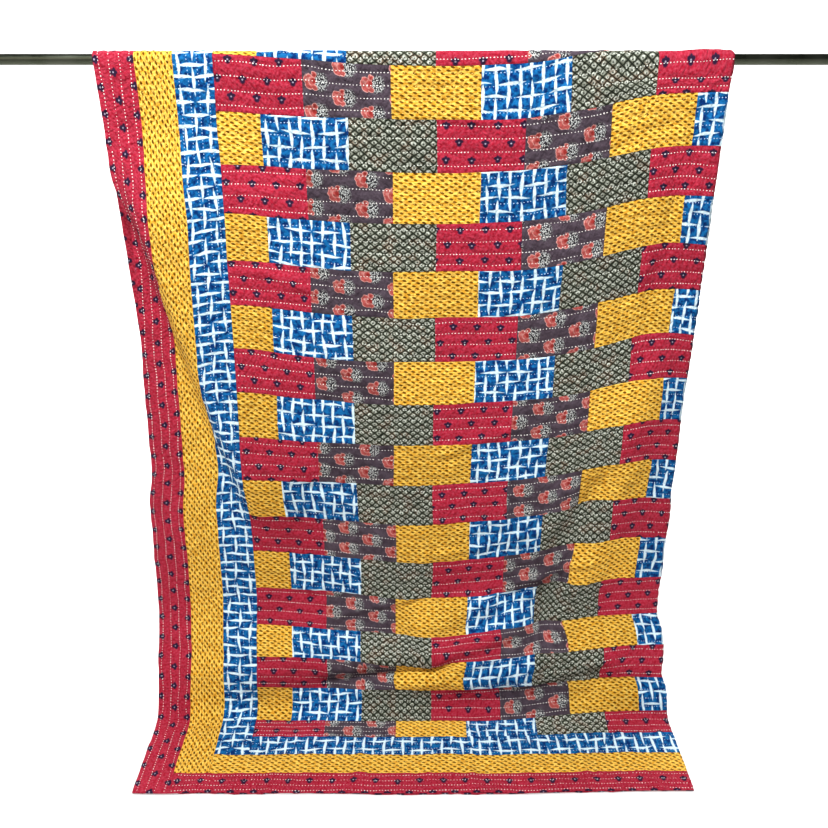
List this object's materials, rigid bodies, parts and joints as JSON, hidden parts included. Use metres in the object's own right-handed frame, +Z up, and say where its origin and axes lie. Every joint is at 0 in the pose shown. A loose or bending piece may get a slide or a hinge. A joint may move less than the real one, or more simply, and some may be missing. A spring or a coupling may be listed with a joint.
{
  "type": "patchwork quilt on a hanging rod",
  "caption": "Thin quilted patchwork bedspread with striped print borders, folded lengthwise and hung over a round metal rod, its foot hem lying on the floor.",
  "frame": {"origin": "on the rod's axis, at the middle of its length", "axes": "+X along the rod, towards the quilt's lengthwise fold; -Y towards the side where the long fall reaches the floor; +Z up"},
  "size_m": [1.6, 0.382, 1.437],
  "materials": {
    "red_print": "matt cotton, running stitch",
    "yellow_print": "matt cotton, running stitch",
    "blue_print": "matt cotton, running stitch",
    "patchwork": "matt cotton, running stitch",
    "rod_metal": "satin"
  },
  "bodies": {
    "root": {"patchwork_panel": "patchwork", "rod": "rod_metal", "red_strip_left": "red_print", "red_strip_right": "red_print", "red_strip_foot": "red_print", "red_strip_head": "red_print", "yellow_strip_left": "yellow_print", "yellow_strip_right": "yellow_print", "yellow_strip_foot": "yellow_print", "yellow_strip_head": "yellow_print", "blue_strip_left": "blue_print", "blue_strip_right": "blue_print", "blue_strip_foot": "blue_print", "blue_strip_head": "blue_print"}
  },
  "joints": []
}
